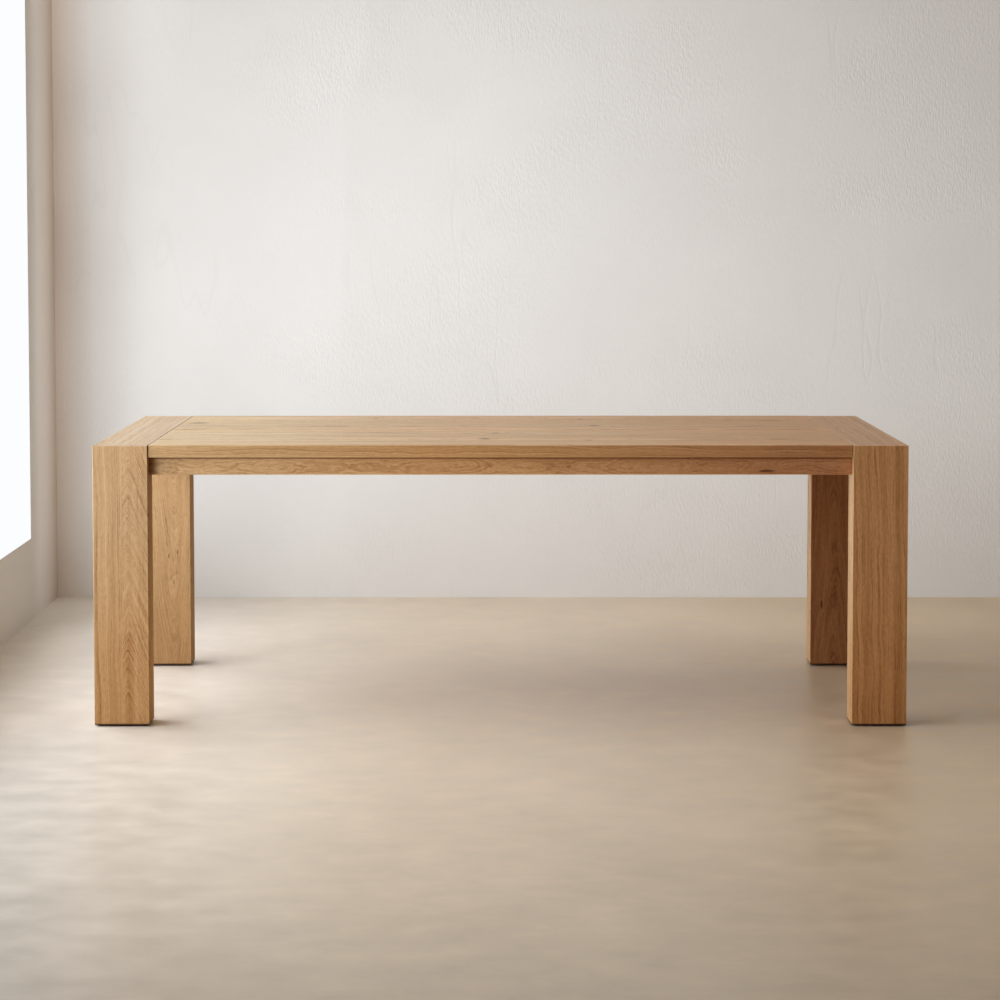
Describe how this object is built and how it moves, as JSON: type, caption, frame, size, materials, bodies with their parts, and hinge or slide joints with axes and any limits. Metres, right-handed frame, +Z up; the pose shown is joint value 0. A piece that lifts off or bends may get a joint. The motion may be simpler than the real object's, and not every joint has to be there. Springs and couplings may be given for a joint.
{
  "type": "parsons dining table",
  "caption": "Long rectangular solid oak dining table: flat glued panel between two mitred end frames of thick legs flush with the corners, set-back aprons, screw-in levelling feet.",
  "frame": {"origin": "on the floor at the middle of the table", "axes": "+X along the length, to the right of someone at the front; +Y from front to back; +Z up"},
  "size_m": [2.2, 1, 0.765],
  "materials": {
    "oak_legs": "satin clear oil on oak",
    "oak_end_boards": "satin clear oil on oak",
    "oak_panel": "satin clear oil on oak",
    "oak_aprons": "satin clear oil on oak",
    "oak_inner_rails": "bare planed oak",
    "beech_joinery": "bare beech",
    "foot_nylon": "moulded nylon",
    "zinc_steel": "bright zinc plate",
    "insert_brass": "machined brass",
    "screw_steel": "yellow zinc plate"
  },
  "bodies": {
    "table": {"back_apron": "oak_aprons", "back_left_corner_block": "oak_inner_rails", "back_left_leg_back_board": "oak_legs", "back_left_leg_core_board": "oak_legs", "back_left_leg_face_board": "oak_legs", "back_right_corner_block": "oak_inner_rails", "back_right_leg_back_board": "oak_legs", "back_right_leg_core_board": "oak_legs", "back_right_leg_face_board": "oak_legs", "board_biscuits": "beech_joinery", "corner_bolts": "zinc_steel", "corner_inserts": "insert_brass", "corner_washers": "zinc_steel", "foot_inserts": "insert_brass", "frame_dowels": "beech_joinery", "frame_screws": "screw_steel", "front_apron": "oak_aprons", "front_left_corner_block": "oak_inner_rails", "front_left_leg_back_board": "oak_legs", "front_left_leg_core_board": "oak_legs", "front_left_leg_face_board": "oak_legs", "front_right_corner_block": "oak_inner_rails", "front_right_leg_back_board": "oak_legs", "front_right_leg_core_board": "oak_legs", "front_right_leg_face_board": "oak_legs", "left_batten": "oak_inner_rails", "left_cleat": "oak_inner_rails", "left_end_board": "oak_end_boards", "left_inner_end_rail": "oak_aprons", "left_outer_end_rail": "oak_aprons", "leg_top_tenons": "beech_joinery", "middle_batten": "oak_inner_rails", "panel_clips": "zinc_steel", "panel_screws": "screw_steel", "right_batten": "oak_inner_rails", "right_cleat": "oak_inner_rails", "right_end_board": "oak_end_boards", "right_inner_end_rail": "oak_aprons", "right_outer_end_rail": "oak_aprons", "top_board_1": "oak_panel", "top_board_2": "oak_panel", "top_board_3": "oak_panel", "top_board_4": "oak_panel", "top_board_5": "oak_panel", "top_board_6": "oak_panel", "top_board_7": "oak_panel"},
    "front_left_glide": {"front_left_foot_pad": "foot_nylon"},
    "front_left_screw": {"front_left_foot_screw": "zinc_steel"},
    "front_right_glide": {"front_right_foot_pad": "foot_nylon"},
    "front_right_screw": {"front_right_foot_screw": "zinc_steel"},
    "back_left_glide": {"back_left_foot_pad": "foot_nylon"},
    "back_left_screw": {"back_left_foot_screw": "zinc_steel"},
    "back_right_glide": {"back_right_foot_pad": "foot_nylon"},
    "back_right_screw": {"back_right_foot_screw": "zinc_steel"}
  },
  "joints": [
    {"name": "front_left_foot_height", "type": "slide", "parent": "table", "child": "front_left_glide", "axis": [0, 0, -1], "range_m": [0, 0.01]},
    {"name": "front_left_foot_turn", "type": "hinge", "parent": "front_left_glide", "child": "front_left_screw", "pos_m": [-1.026, -0.453, 0.002], "axis": [0, 0, -1], "range_deg": [0, 2880.5]},
    {"name": "front_right_foot_height", "type": "slide", "parent": "table", "child": "front_right_glide", "axis": [0, 0, -1], "range_m": [0, 0.01]},
    {"name": "front_right_foot_turn", "type": "hinge", "parent": "front_right_glide", "child": "front_right_screw", "pos_m": [1.026, -0.453, 0.002], "axis": [0, 0, -1], "range_deg": [0, 2880.5]},
    {"name": "back_left_foot_height", "type": "slide", "parent": "table", "child": "back_left_glide", "axis": [0, 0, -1], "range_m": [0, 0.01]},
    {"name": "back_left_foot_turn", "type": "hinge", "parent": "back_left_glide", "child": "back_left_screw", "pos_m": [-1.026, 0.453, 0.002], "axis": [0, 0, -1], "range_deg": [0, 2880.5]},
    {"name": "back_right_foot_height", "type": "slide", "parent": "table", "child": "back_right_glide", "axis": [0, 0, -1], "range_m": [0, 0.01]},
    {"name": "back_right_foot_turn", "type": "hinge", "parent": "back_right_glide", "child": "back_right_screw", "pos_m": [1.026, 0.453, 0.002], "axis": [0, 0, -1], "range_deg": [0, 2880.5]}
  ],
  "couplings": [
    {"joint": "front_left_foot_turn", "follows": "front_left_foot_height", "rad_per_m": 5026.5},
    {"joint": "front_right_foot_turn", "follows": "front_right_foot_height", "rad_per_m": 5026.5},
    {"joint": "back_left_foot_turn", "follows": "back_left_foot_height", "rad_per_m": 5026.5},
    {"joint": "back_right_foot_turn", "follows": "back_right_foot_height", "rad_per_m": 5026.5}
  ]
}
